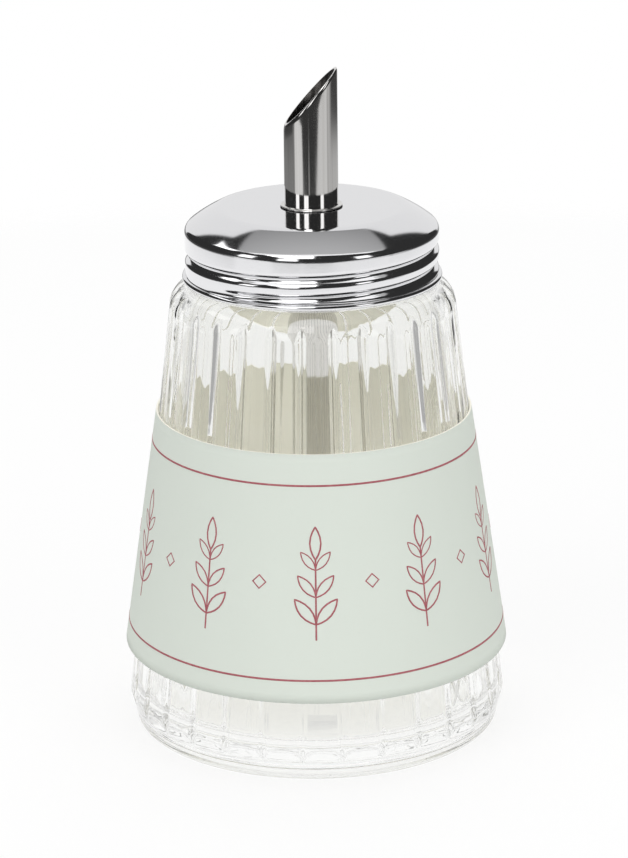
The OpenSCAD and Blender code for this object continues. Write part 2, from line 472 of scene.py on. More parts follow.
jar = {
    "widest": 43.3 * mm,
    "widestZ": 7.5 * mm,
    "fineTo": 5 * mm,  # the mesh is finer up to here above the widest line, where the flutes begin
    "shoulderZ": 98.0 * mm,
    "shoulder": 6.0 * mm,
    "neck": 26.4 * mm,
    "neckFillet": 0.3 * mm,
    "rim": 1.0 * mm,
    "mouthRim": 0.8 * mm,
    "mouthStraight": 4.0 * mm,  # the mouth's straight wall begins this far above the shoulder
    "wall": 3.2 * mm,
    "neckWall": 3.6 * mm,
    "floorZ": 5.6 * mm,
    "floorFillet": 6.0 * mm,
    "footStep": 1.4 * mm,
    "footH": 3.6 * mm,
    "footRound": 2.0 * mm,
    "land": 3.2 * mm,
    "pushUp": 1.6 * mm,
    "ledgeMiddle": 0.3 * mm,  # the small ledge where the wall steps out above the foot
    "ledgeRound": 0.4 * mm,
    "ledgeRise": 0.5 * mm,
    "flutes": 30,
    "fluteDepth": 0.75 * mm,
    "fluteWidth": 2.5 * mm,
    "fluteBlend": 0.12 * mm,
    "flutePhase": 1.5,  # degrees from +X to the first one
    "crown": 0.22 * mm,
    "crownFrom": -1.4 * mm,  # the panels' crown fades in between these heights past the widest line
    "crownTo": 1.2 * mm,
    "crownEnd": 3 * mm,  # and fades out this far above the shoulder line
    "ripple": 0.12 * mm,
    "rippleScale": 85,
    "rippleRise": (8 * mm, 14 * mm),  # the inner wall's ripple fades in over these heights and radii
    "rippleReach": (26 * mm, 29 * mm),
}
thread = {
    "pitch": 4.2 * mm,
    "rise": 2.55 * mm,  # the cap's roll above the cap's lower edge, at the front
    "capDepth": 1.0 * mm,
    "capWidth": 3.0 * mm,
    "capFirst": -150 / 360,
    "capTurns": 1.5,
    "neckDepth": 1.15 * mm,
    "neckWidth": 2.2 * mm,
    "neckFirst": -60 / 360,
    "neckTurns": 1.3,
    "fade": 0.1,
}
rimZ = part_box("glass_jar")[1].z
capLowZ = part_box("screw_cap")[0].z
rollZ = capLowZ + thread["rise"] + thread["pitch"] / 4
ridgeZ = rollZ + thread["pitch"] / 2
coneTop = jar["neck"] + jar["shoulder"]
coneSlope = (jar["widest"] - coneTop) / (jar["shoulderZ"] - jar["widestZ"])


def coneAt(z):
    return jar["widest"] - coneSlope * (z - jar["widestZ"])


def jarOutline():
    foot = jar["widest"] - jar["footStep"]
    landIn = foot - jar["footRound"] - jar["land"]
    push, floorZ, fillet = jar["pushUp"], jar["floorZ"], jar["floorFillet"]
    # Outside: the pushed-up bottom, the land that it stands on, and the foot
    outside = [(0, push), (landIn * 0.5, push), (landIn - push * 1.2, push)]
    outside += arc(landIn - push * 0.2, push * 0.55, push * 0.55, 150, 270, 5)
    outside += arc(foot - jar["footRound"], jar["footRound"], jar["footRound"], -90, 0)
    # The ledge, the cone and the shoulder
    ledge, ledgeZ = foot + jar["ledgeMiddle"], jar["footH"] + jar["ledgeRise"]
    outside += [(foot, jar["footH"] - jar["ledgeRise"]), (foot + jar["ledgeRound"] * 0.3, jar["footH"])]
    outside += arc(ledge, ledgeZ, jar["ledgeRound"], 250, 290, 2)
    low, high = (jar["widest"], jar["widestZ"]), (coneTop, jar["shoulderZ"])
    nearZ = jar["widestZ"] + jar["fineTo"]
    nearFoot = (coneAt(nearZ), nearZ)
    outside += line((foot + jar["ledgeRise"] * 0.9, jar["footH"] + jar["ledgeRound"]), low, 8) + [low]
    outside += line(low, nearFoot, 9) + [nearFoot] + line(nearFoot, high, 24)
    outside += arc(jar["neck"], jar["shoulderZ"], jar["shoulder"], 0, 84, 22)
    # The neck and the rim
    shoulderTop, neckFillet = jar["shoulderZ"] + jar["shoulder"], jar["neckFillet"]
    neckLow, neckHigh = (jar["neck"], shoulderTop + neckFillet), (jar["neck"], rimZ - jar["rim"])
    outside += [(jar["neck"] + neckFillet * 5 / 6, shoulderTop + neckFillet / 6), neckLow]
    outside += line(neckLow, neckHigh, 28)
    outside += arc(jar["neck"] - jar["rim"], rimZ - jar["rim"], jar["rim"], 0, 90, 5)
    # Inside: the mouth, the shoulder, the wall and the floor
    mouth = jar["neck"] - jar["neckWall"]
    inLow = coneAt(floorZ + fillet) - jar["wall"]
    inRound = coneTop - jar["wall"] - mouth
    wallTop, wallLow = (mouth + inRound, jar["shoulderZ"]), (inLow, floorZ + fillet)
    inside = arc(mouth + jar["mouthRim"], rimZ - jar["mouthRim"], jar["mouthRim"], 90, 180, 5)
    inside += [(mouth, shoulderTop + jar["mouthStraight"])]
    inside += arc(mouth, jar["shoulderZ"], inRound, 90, 0, 9)[1:] + line(wallTop, wallLow, 18)
    inside += arc(inLow - fillet, floorZ + fillet, fillet, 0, -90)
    inside += [(inLow * 0.6, floorZ), (inLow * 0.3, floorZ), (0, floorZ)]
    return outside, inside


def flutesTree():
    # Cuts upright grooves into the cone, crowns the panels between them and ripples the inner wall
    tree, given = geometryTree("flutes", [
        "Count", "Phase", "Width", "Depth", "Blend", "Low Radius", "Low Z", "High Z", "Slope", "Crown",
        "Crown From", "Crown To", "Crown End", "Ripple", "Ripple Scale", "Material"])
    angle, radius, height, outwards, place = cylinderFields(tree)
    outside = ease(tree, skinField(tree), 0.5, 0.6)

    # Grooves: a round hollow under the cone's own surface
    pitch = calc(tree, "DIVIDE", 2 * math.pi, given["Count"])
    turned = calc(tree, "SUBTRACT", angle, calc(tree, "RADIANS", given["Phase"]))
    offset = nearest(tree, turned, pitch)
    hollow = roundProfile(tree, calc(tree, "MULTIPLY", offset, radius), given["Width"])
    above = calc(tree, "SUBTRACT", height, given["Low Z"])
    cone = calc(tree, "SUBTRACT", given["Low Radius"], calc(tree, "MULTIPLY", above, given["Slope"]))
    floor = calc(tree, "SUBTRACT", cone, calc(tree, "MULTIPLY", hollow, given["Depth"]))
    cut = calc(tree, "SMOOTH_MIN", radius, floor, given["Blend"])
    groove = calc(tree, "MULTIPLY", calc(tree, "SUBTRACT", radius, cut), ease(tree, hollow, 0.0, 0.08))

    # Panels: full height in the middle, falling towards the grooves
    half = calc(tree, "DIVIDE", pitch, 2.0)
    edge = calc(tree, "POWER", calc(tree, "DIVIDE", calc(tree, "ABSOLUTE", offset), half), 2.0)
    begun = ease(tree, above, given["Crown From"], given["Crown To"])
    ended = ease(tree, height, given["High Z"], calc(tree, "ADD", given["High Z"], given["Crown End"]))
    inBand = calc(tree, "MULTIPLY", begun, calc(tree, "SUBTRACT", 1.0, ended))
    fall = calc(tree, "MULTIPLY", calc(tree, "SUBTRACT", 1.0, edge), given["Crown"])
    inward = calc(tree, "ADD", groove, calc(tree, "MULTIPLY", fall, inBand))

    # Inner wall: a weak ripple, away from the floor and the mouth
    wobble = calc(tree, "SUBTRACT", noise(tree, place, given["Ripple Scale"], 2.0), 0.5)
    onWall = calc(tree, "MULTIPLY", ease(tree, height, *jar["rippleRise"]),
                  ease(tree, radius, *jar["rippleReach"]))
    wave = calc(tree, "MULTIPLY", calc(tree, "MULTIPLY", wobble, given["Ripple"]), onWall)
    inner = calc(tree, "MULTIPLY", wave, calc(tree, "SUBTRACT", 1.0, outside))
    shift = calc(tree, "SUBTRACT", inner, calc(tree, "MULTIPLY", inward, outside))
    pushOut(tree, given, outwards, shift)
    return tree


def screwTree():
    # Raises or sinks a wall along a helix: height = Start Z + Pitch * turns
    tree, given = geometryTree("screwThread", [
        "Pitch", "Depth", "Width", "Start Z", "First Turn", "Turns", "Fade", "Material"])
    angle, _, height, outwards, _ = cylinderFields(tree)
    turn = calc(tree, "DIVIDE", angle, 2 * math.pi)
    above = calc(tree, "SUBTRACT", height, given["Start Z"])
    fromHelix = calc(tree, "SUBTRACT", above, calc(tree, "MULTIPLY", turn, given["Pitch"]))
    gap = nearest(tree, fromHelix, given["Pitch"])
    at = calc(tree, "DIVIDE", calc(tree, "SUBTRACT", above, gap), given["Pitch"])
    bulge = roundProfile(tree, gap, given["Width"])
    last = calc(tree, "ADD", given["First Turn"], given["Turns"])
    begun = ease(tree, at, given["First Turn"], calc(tree, "ADD", given["First Turn"], given["Fade"]))
    ended = ease(tree, at, calc(tree, "SUBTRACT", last, given["Fade"]), last)
    run = calc(tree, "MULTIPLY", begun, calc(tree, "SUBTRACT", 1.0, ended))
    depth = calc(tree, "MULTIPLY", given["Depth"], skinField(tree))
    pushOut(tree, given, outwards, calc(tree, "MULTIPLY", calc(tree, "MULTIPLY", bulge, run), depth))
    return tree


screwThread = screwTree()


def makeJar():
    outside, inside = jarOutline()
    # Steps round the glass, in twelfths of the pitch: close in each groove and wider on the panel
    inGroove = [0, 0.5, 0.95, 1.4, 1.9, 2.4, 3.1, 4.4]
    offsets = [-a for a in inGroove[:0:-1]] + inGroove + [6]
    pitch = 360 / jar["flutes"]
    angles = [math.radians(jar["flutePhase"] + pitch * k + offset * pitch / 12)
              for k in range(jar["flutes"]) for offset in offsets]
    piece = spin("glassJar", outside + inside, angles, [1] * len(outside) + [0] * len(inside))
    applyTree(piece, flutesTree(), {
        "Count": jar["flutes"], "Phase": jar["flutePhase"], "Width": jar["fluteWidth"],
        "Depth": jar["fluteDepth"], "Blend": jar["fluteBlend"], "Low Radius": jar["widest"],
        "Low Z": jar["widestZ"], "High Z": jar["shoulderZ"], "Slope": coneSlope, "Crown": jar["crown"],
        "Crown From": jar["crownFrom"], "Crown To": jar["crownTo"], "Crown End": jar["crownEnd"],
        "Ripple": jar["ripple"], "Ripple Scale": jar["rippleScale"], "Material": glass})
    applyTree(piece, screwThread, {
        "Pitch": thread["pitch"], "Depth": thread["neckDepth"], "Width": thread["neckWidth"],
        "Start Z": ridgeZ, "First Turn": thread["neckFirst"], "Turns": thread["neckTurns"],
        "Fade": thread["fade"], "Material": glass})
    settle(piece, "jar", "clear_glass", "glass_jar")


makeJar()


# Screw cap

cap = {
    "sheet": 0.45 * mm,
    "radius": 28.45 * mm,
    "skirt": 10.9 * mm,
    "curl": 0.7 * mm,
    "corner": 2.0 * mm,
    "dome": 30.0 * mm,
    "crown": 20.0 * mm,
    "crownRound": 5.0 * mm,
    "crownEdge": 26,  # degrees from level where the crown's round edge ends
    "crownRise": 0.1 * mm,
    "holeFit": 0.02 * mm,
    "edgeIn": 0.05 * mm,  # the sheet's lower edge inside: how far in and up it starts, and where it ends
    "edgeUp": 0.02 * mm,
    "edgeTop": 0.15 * mm,
    "steps": 240,
}
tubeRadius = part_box("pouring_tube")[1].y
skirtTopZ = capLowZ + cap["skirt"]
cornerX = cap["radius"] - cap["corner"]
# The slope's arc is tangent to the crown's round edge and to the corner
edgeTurn = math.radians(cap["crownEdge"])
domeX = cap["crown"] - (cap["dome"] - cap["crownRound"]) * math.sin(edgeTurn)
domeZ = skirtTopZ - math.sqrt((cap["dome"] - cap["corner"]) ** 2 - (cornerX - domeX) ** 2)
roundZ = domeZ + (cap["dome"] - cap["crownRound"]) * math.cos(edgeTurn)
crownZ = roundZ + cap["crownRound"]
cornerTurn = math.degrees(math.atan2(skirtTopZ - domeZ, cornerX - domeX))
holeRadius = tubeRadius + cap["holeFit"]


def domeOutline(back):
    # From the tube outwards and down to the top of the skirt, set back by the sheet for the inside
    crown = [(holeRadius, crownZ + cap["crownRise"] - back)]
    crown += line(crown[0], (cap["crown"], crownZ - back), 7)
    crown += arc(cap["crown"], roundZ, cap["crownRound"] - back, 90, 90 - cap["crownEdge"], 12)
    slope = arc(domeX, domeZ, cap["dome"] - back, 90 - cap["crownEdge"], cornerTurn, 14)[1:]
    return crown + slope + arc(cornerX, skirtTopZ, cap["corner"] - back, cornerTurn, 0, 12)[1:]


def makeCap():
    inner = cap["radius"] - cap["sheet"]
    curlZ = capLowZ + cap["curl"]
    foot = (cap["radius"], capLowZ + 2 * cap["curl"])
    outer = domeOutline(0) + line((cap["radius"], skirtTopZ), foot, 36)
    outer += arc(cap["radius"], curlZ, cap["curl"], 90, -90, 12)
    edge = (inner, capLowZ + cap["edgeTop"])
    inside = [(inner + cap["edgeIn"], capLowZ + cap["edgeUp"]), edge]
    inside += line(edge, (inner, skirtTopZ), 38) + domeOutline(cap["sheet"])[::-1]
    outline = outer + inside
    piece = spin("screwCap", outline, ringAngles(cap["steps"]), [-1] * len(outline))
    applyTree(piece, screwThread, {
        "Pitch": thread["pitch"], "Depth": thread["capDepth"], "Width": thread["capWidth"],
        "Start Z": rollZ, "First Turn": thread["capFirst"], "Turns": thread["capTurns"],
        "Fade": thread["fade"], "Material": chrome})
    settle(piece, "cap", "cap_chrome", "screw_cap")


makeCap()


# Pouring tube, its collar and the ring that holds it

tube = {
    "wall": 0.7 * mm,
    "slope": 48,  # degrees of the mouth's slant
    "edge": 0.09 * mm,
    "edgeShare": 0.0015,  # the share of the height that the lower edge's bevel takes
    "lipIn": 0.34 * mm,   # how far the polished lip rounds in, and how far it reaches down the tube
    "lipDown": 1.3 * mm,
    "lipSteps": 9,
    "steps": 144,
    "rings": 60,
}
tubeLow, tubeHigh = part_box("pouring_tube")
tubeRise = math.tan(math.radians(tube["slope"]))
mouthLowZ = tubeHigh.z - 2 * tubeRadius * tubeRise


def mouthZ(x, drop):
    return mouthLowZ + (x + tubeRadius) * tubeRise - drop


def makeTube():
    outer, inner, edge = tubeRadius, tubeRadius - tube["wall"], tube["edge"]
    count, rows, lipSteps = tube["steps"], tube["rings"], tube["lipSteps"]
    # Each ring is (radius, share of the height, drop below the cut): up the outside, over the
    # rounded lip and the ground edge, and down the bore
    up = [(outer, i / rows, tube["lipDown"]) for i in range(1, rows + 1)]
    turns = [math.radians(90 * i / lipSteps) for i in range(1, lipSteps + 1)]
    lip = [(outer - tube["lipIn"] * (1 - math.cos(t)), 1, tube["lipDown"] * (1 - math.sin(t)))
           for t in turns]
    down = [(inner, 1 - i / rows, edge) for i in range(rows)]
    rings = [(outer - edge, 0, 0), (outer, tube["edgeShare"], edge)] + up + lip
    rings += [(inner + edge * 0.7, 1, 0)] + down
    rings += [(inner, tube["edgeShare"], edge), (inner + edge, 0, 0)]
    boreStart = len(up) + len(lip) + 2
    vertices = []
    for radius, share, drop in rings:
        for t in ringAngles(count):
            x, y = radius * math.cos(t), radius * math.sin(t)
            vertices.append((x, y, tubeLow.z + share * (mouthZ(x, drop) - tubeLow.z)))
    faces, finish = [], []
    for i in range(len(rings)):
        low, high = i * count, (i + 1) % len(rings) * count
        for j in range(count):
            k = (j + 1) % count
            faces.append((low + j, low + k, high + k, high + j))
        inBore = boreStart <= i < len(rings) - 1
        finish += [int(inBore)] * count
    piece = makePiece("pouringTube", vertices, faces)
    coat(piece, steel, bore)
    piece.data.polygons.foreach_set("material_index", finish)
    settle(piece, "cap", "tube_steel", "pouring_tube")


collar = {
    "sunk": 0.01 * mm,
    "edge": 0.17 * mm,
    "flat": 0.2 * mm,
    "web": 0.1 * mm,
    "flare": 0.32 * mm,
}


def makeCollar():
    # A thin flange that flares from the tube on to the dome
    low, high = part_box("tube_collar")
    edge, flare = collar["edge"], collar["flare"]
    base = low.z - collar["sunk"]
    outline = [(tubeRadius, base), (high.x - collar["flat"], base)]
    outline += arc(high.x - edge, base + edge, edge, -70, 110)
    outline += arc(tubeRadius + flare, base + edge + collar["web"] + flare, flare, 272, 180)
    outline += [(tubeRadius, high.z)]
    piece = spin("tubeCollar", outline, ringAngles(tube["steps"]))
    coat(piece, steel)
    settle(piece, "cap", "tube_steel", "tube_collar")


lock = {"bevel": 0.2 * mm, "fit": 0.01 * mm, "steps": 96}


def makeLockRing():
    low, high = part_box("lock_ring")
    bevel, inner = lock["bevel"], tubeRadius + lock["fit"]
    outline = [(inner, low.z), (high.x - bevel, low.z), (high.x, low.z + bevel),
               (high.x, high.z - bevel), (high.x - bevel, high.z), (inner, high.z)]
    piece = spin("lockRing", outline, ringAngles(lock["steps"]))
    coat(piece, steel)
    settle(piece, "cap", "tube_steel", "lock_ring")


makeTube()
makeCollar()
makeLockRing()


# Sealing ring

seal = {"width": 3.4 * mm, "fit": 0.06 * mm, "bevel": 0.25 * mm, "topSteps": 8, "steps": 128}


def makeSeal():
    low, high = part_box("sealing_ring")
    outer, bevel, steps = high.x, seal["bevel"], seal["topSteps"]
    inner = outer - seal["width"]

    def under(radius):
        # The height of the dome's inner side, less the fit
        back = cap["dome"] - cap["sheet"]
        return domeZ + math.sqrt(back ** 2 - (radius - domeX) ** 2) - seal["fit"]

    top = [inner + bevel + (seal["width"] - 2 * bevel) * i / steps for i in range(steps + 1)]
    outline = [(inner, low.z + bevel), (inner + bevel, low.z), (outer, low.z)]
    outline += [(outer, under(outer) - bevel)] + [(r, under(r)) for r in top[::-1]]
    outline += [(inner, under(inner) - bevel)]
    piece = spin("sealingRing", outline, ringAngles(seal["steps"]))
    coat(piece, sealWhite)
    settle(piece, "seal", "white_seal", "sealing_ring")


makeSeal()


# Card sleeve: one curved strip whose ends lap at the back

sleeve = {
    "card": 0.4 * mm,
    "fit": 0.15 * mm,     # between the upper edge and the glass
    "lap": 13.0,          # degrees that the upper end covers the lower one
    "lapAt": 96,          # where the upper end lies, counter-clockwise from +X
    "lapGap": 0.03 * mm,
    "dive": 1.25,         # how many laps it takes the lower end to sink under the upper one
    "steps": 220,
    "rings": 26,
    "unround": 0.3 * mm,
    "unroundTurn": 34,
}
sleeveLow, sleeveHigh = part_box("card_sleeve")
sleeveLowR = sleeveHigh.x
sleeveTopR = coneAt(sleeveHigh.z) + sleeve["fit"] + sleeve["card"]
sleeveTall = sleeveHigh.z - sleeveLow.z
lapStart, lapTurn = math.radians(sleeve["lapAt"]), math.radians(sleeve["lap"])


def sleeveRadius(turn, low):
    # low is 1 at the lower edge and 0 at the upper one; the free lower edge is a little out of round
    wave = 0.5 + 0.5 * math.sin(2 * turn + math.radians(sleeve["unroundTurn"]))
    return sleeveTopR + (sleeveLowR - sleeveTopR - sleeve["unround"] * wave) * low


def makeSleeve():
    lift = sleeve["card"] + sleeve["lapGap"]
    vertices, faces = [], []
    steps, rings = sleeve["steps"], sleeve["rings"]
    for i in range(steps + 1):
        past = i / steps * (2 * math.pi + lapTurn)
        turn = lapStart + past
        # The first end dives under the last one
        under = max(0.0, 1 - past / (lapTurn * sleeve["dive"]))
        sunk = lift * under * under * (3 - 2 * under)
        for face in (0, 1):
            for k in range(rings + 1):
                low = 1 - k / rings
                radius = sleeveRadius(turn, low) - sunk * low - face * sleeve["card"]
                z = sleeveHigh.z - sleeveTall * low
                vertices.append((radius * math.cos(turn), radius * math.sin(turn), z))
    row = rings + 1

    def at(i, face, k):
        return (i * 2 + face) * row + k

    materials = []
    for i in range(steps):
        for k in range(rings):
            faces.append((at(i, 0, k), at(i + 1, 0, k), at(i + 1, 0, k + 1), at(i, 0, k + 1)))
            faces.append((at(i, 1, k + 1), at(i + 1, 1, k + 1), at(i + 1, 1, k), at(i, 1, k)))
            materials += [0, 1]
        faces.append((at(i, 1, 0), at(i + 1, 1, 0), at(i + 1, 0, 0), at(i, 0, 0)))
        faces.append((at(i, 0, rings), at(i + 1, 0, rings), at(i + 1, 1, rings), at(i, 1, rings)))
        materials += [1, 1]
    for k in range(rings):
        faces.append((at(0, 0, k), at(0, 0, k + 1), at(0, 1, k + 1), at(0, 1, k)))
        faces.append((at(steps, 0, k), at(steps, 1, k), at(steps, 1, k + 1), at(steps, 0, k + 1)))
        materials += [1, 1]
    piece = makePiece("cardSleeve", vertices, faces, smooth=False)
    coat(piece, cardFace, cardBack)
    piece.data.polygons.foreach_set("material_index", materials)
    piece.data.polygons.foreach_set("use_smooth", [skin == 0 for skin in materials])
    settle(piece, "sleeve", "printed_card", "card_sleeve")


makeSleeve()


# Print on the card: two thin rules, and between them upright leaf sprigs with small diamonds

border = {
    "ruleLow": 24.7 * mm,
    "ruleHigh": 67.7 * mm,
    "ruleWidth": 0.42 * mm,
    "ruleSteps": 260,
    "ruleStart": 1.3,  # laps past the seam where the rules begin
    "ruleEnd": 1.0,    # degrees before the upper end where they stop
    "sprigs": 9,
    "sprigStep": 36,
    "sprigFirst": 126,
    "sprigZ": 46.2 * mm,
    "sprigTall": 25.0 * mm,
    "rowFirst": -0.36,  # the lowest leaves and the step to the next ones, in shares of the height
    "rowStep": 0.24,
    "rowShrink": -0.14,
    "leafLong": 7.2 * mm,
    "leafWide": 2.5 * mm,
    "leafTurn": 40,
    "leafRows": 3,
    "diamond": 1.5 * mm,
    "pen": 0.36 * mm,
    "thick": 0.05 * mm,
    "lift": 0.02 * mm,
}


def borderTree():
    # Draws the print flat, with X along the card and Y up, then wraps it on the card's cone
    tree, given = geometryTree("printedBorder", [
        "Rule Low", "Rule High", "Rule Width", "Start Turn", "End Turn", "Sprigs", "Sprig Step",
        "First Sprig", "Sprig Z", "Sprig Tall", "Row First", "Row Step", "Row Shrink", "Leaf Long",
        "Leaf Wide", "Leaf Turn", "Leaf Rows", "Diamond", "Pen", "Thick", "Lift", "Low Z", "Tall",
        "Low Radius", "Top Radius", "Unround", "Unround Turn", "Material"])

    def at(x=0.0, y=0.0, z=0.0):
        return addNode(tree, "ShaderNodeCombineXYZ", {0: x, 1: y, 2: z}).outputs[0]

    def times(value, factor):
        return calc(tree, "MULTIPLY", value, factor)

    def join(*parts):
        node = tree.nodes.new("GeometryNodeJoinGeometry")
        for part in parts:
            tree.links.new(part, node.inputs[0])
        return node.outputs[0]

    def place(part, move, turn=0.0):
        sockets = {"Geometry": part, "Translation": move, "Rotation": at(z=turn)}
        return addNode(tree, "GeometryNodeTransform", sockets).outputs[0]

    def stroke(curve, width):
        # A pen line of the given width that lies flat on the card
        sockets = {"Width": width, "Height": given["Thick"]}
        nib = addNode(tree, "GeometryNodeCurvePrimitiveQuadrilateral", sockets)
        flat = addNode(tree, "GeometryNodeSetCurveNormal", {"Curve": curve}, mode="Z_UP").outputs[0]
        sockets = {"Curve": flat, "Profile Curve": nib.outputs[0], "Fill Caps": True}
        return addNode(tree, "GeometryNodeCurveToMesh", sockets).outputs[0]

    def straight(start, end):
        sockets = {"Start": start, "End": end}
        return addNode(tree, "GeometryNodeCurvePrimitiveLine", sockets).outputs[0]

    def ring(points, radius):
        sockets = {"Resolution": points, "Radius": radius}
        return addNode(tree, "GeometryNodeCurvePrimitiveCircle", sockets).outputs[0]

    def row(count, first, step):
        sockets = {"Count": count, "Start Location": first, "Offset": step}
        return addNode(tree, "GeometryNodeMeshLine", sockets).outputs[0]

    def repeat(points, part, size=(1, 1, 1)):
        sockets = {"Points": points, "Instance": part, "Scale": size}
        return addNode(tree, "GeometryNodeInstanceOnPoints", sockets).outputs[0]

    # A pointed leaf: a circle drawn narrow towards both ends
    spot = tree.nodes.new("GeometryNodeInputPosition").outputs[0]
    x, y, _ = addNode(tree, "ShaderNodeSeparateXYZ", {0: spot}).outputs
    halfWide, halfLong = times(given["Leaf Wide"], 0.5), times(given["Leaf Long"], 0.5)
    narrow = times(times(x, calc(tree, "ABSOLUTE", x)), halfWide)
    tall = times(calc(tree, "ADD", y, 1.0), halfLong)
    sockets = {"Geometry": ring(16, 1.0), "Position": at(narrow, tall)}
    shaped = addNode(tree, "GeometryNodeSetPosition", sockets).outputs[0]
    leaf = stroke(shaped, given["Pen"])

    # A sprig: a stem, pairs of leaves that grow smaller upwards, and one leaf at the top
    turn = calc(tree, "RADIANS", given["Leaf Turn"])
    pair = join(place(leaf, at(), turn), place(leaf, at(), times(turn, -1.0)))
    sprigTall = given["Sprig Tall"]
    foot, step = times(sprigTall, given["Row First"]), times(sprigTall, given["Row Step"])
    order = tree.nodes.new("GeometryNodeInputIndex").outputs[0]
    size = calc(tree, "MULTIPLY_ADD", order, given["Row Shrink"], 1.0)
    leaves = repeat(row(given["Leaf Rows"], at(y=foot), at(y=step)), pair, size)
    top = calc(tree, "SUBTRACT", times(sprigTall, 0.5), given["Leaf Long"])
    stem = stroke(straight(at(y=times(sprigTall, -0.5)), at(y=top)), given["Pen"])
    sprig = join(stem, leaves, place(leaf, at(y=top)))

    # Sprigs and diamonds in turn round the card; lengths along X are turns by the middle radius
    share = calc(tree, "DIVIDE", calc(tree, "SUBTRACT", given["Sprig Z"], given["Low Z"]), given["Tall"])
    span = calc(tree, "SUBTRACT", given["Top Radius"], given["Low Radius"])
    middle = calc(tree, "MULTIPLY_ADD", share, span, given["Low Radius"])

    def along(degrees):
        return times(calc(tree, "RADIANS", degrees), middle)

    gap = along(given["Sprig Step"])
    diamond = place(stroke(ring(4, given["Diamond"]), given["Pen"]), at(times(gap, 0.5)))
    spots = row(given["Sprigs"], at(along(given["First Sprig"]), given["Sprig Z"]), at(gap))
    frieze = repeat(spots, join(sprig, diamond))

    def rule(height):
        ends = [at(along(given[label]), height) for label in ("Start Turn", "End Turn")]
        sockets = {"Curve": straight(*ends), "Count": border["ruleSteps"]}
        fine = addNode(tree, "GeometryNodeResampleCurve", sockets).outputs[0]
        return stroke(fine, given["Rule Width"])

    drawn = join(rule(given["Rule Low"]), rule(given["Rule High"]), frieze)
    drawn = addNode(tree, "GeometryNodeRealizeInstances", {"Geometry": drawn}).outputs[0]

    # Wrap on the cone, whose lower edge is a little out of round
    u, v, w = addNode(tree, "ShaderNodeSeparateXYZ", {0: spot}).outputs
    angle = calc(tree, "DIVIDE", u, middle)
    up = calc(tree, "DIVIDE", calc(tree, "SUBTRACT", v, given["Low Z"]), given["Tall"])
    low = calc(tree, "SUBTRACT", 1.0, up)
    phase = calc(tree, "MULTIPLY_ADD", angle, 2.0, calc(tree, "RADIANS", given["Unround Turn"]))
    wave = times(calc(tree, "MULTIPLY_ADD", calc(tree, "SINE", phase), 0.5, 0.5), given["Unround"])
    reach = calc(tree, "SUBTRACT", times(span, -1.0), wave)
    card = calc(tree, "MULTIPLY_ADD", reach, low, given["Top Radius"])
    radius = calc(tree, "ADD", card, calc(tree, "ADD", w, given["Lift"]))
    wrapped = at(times(calc(tree, "COSINE", angle), radius), times(calc(tree, "SINE", angle), radius), v)
    moved = addNode(tree, "GeometryNodeSetPosition", {"Geometry": drawn, "Position": wrapped})
    endTree(tree, moved.outputs[0], given["Material"])
    return tree


def makeBorder():
    piece = makePiece("cardPrint", [(0, 0, 0)], [])
    applyTree(piece, borderTree(), {
        "Rule Low": border["ruleLow"], "Rule High": border["ruleHigh"],
        "Rule Width": border["ruleWidth"],
        "Start Turn": sleeve["lapAt"] + sleeve["lap"] * border["ruleStart"],
        "End Turn": sleeve["lapAt"] + 360 + sleeve["lap"] - border["ruleEnd"],
        "Sprigs": border["sprigs"], "Sprig Step": border["sprigStep"],
        "First Sprig": border["sprigFirst"], "Sprig Z": border["sprigZ"],
        "Sprig Tall": border["sprigTall"], "Row First": border["rowFirst"],
        "Row Step": border["rowStep"], "Row Shrink": border["rowShrink"],
        "Leaf Long": border["leafLong"], "Leaf Wide": border["leafWide"],
        "Leaf Turn": border["leafTurn"], "Leaf Rows": border["leafRows"],
        "Diamond": border["diamond"], "Pen": border["pen"], "Thick": border["thick"],
        "Lift": border["lift"], "Low Z": sleeveLow.z, "Tall": sleeveTall,
        "Low Radius": sleeveLowR, "Top Radius": sleeveTopR, "Unround": sleeve["unround"],
        "Unround Turn": sleeve["unroundTurn"], "Material": ink})
    settle(piece, "sleeve", "printed_card")


makeBorder()


# Studio: a pale floor, lamps for the matt surfaces, and a room for metal and glass to mirror

studio = {
    "floor": 0.9,
    "floorCloud": 0.985,   # how pale its darker patches are beside the rest
    "floorGlow": 0.8,
    "floorThrough": 0.55,  # the glow that glass lets through, so that its foot keeps its own shade
    "floorNear": 440 * mm,  # the floor fades out between these distances from the jar
    "floorFar": 490 * mm,
    "floorEdge": 500 * mm,
    "lamps": {  # place, height of the point that it faces, width and power
        "keyLamp": ((-0.9, -1.0, 1.1), 0.06, 1.0, 9.0),
        "fillLamp": ((1.2, -1.1, 0.7), 0.06, 1.2, 8.5),
        "frontLamp": ((-0.2, -1.6, 0.45), 0.06, 1.0, 1.5),
        "topLamp": ((0.1, 0.5, 1.6), 0.05, 1.4, 11.0),
    },
    "bounces": 24,  # light is reflected many times inside the fluted glass before it leaves
}


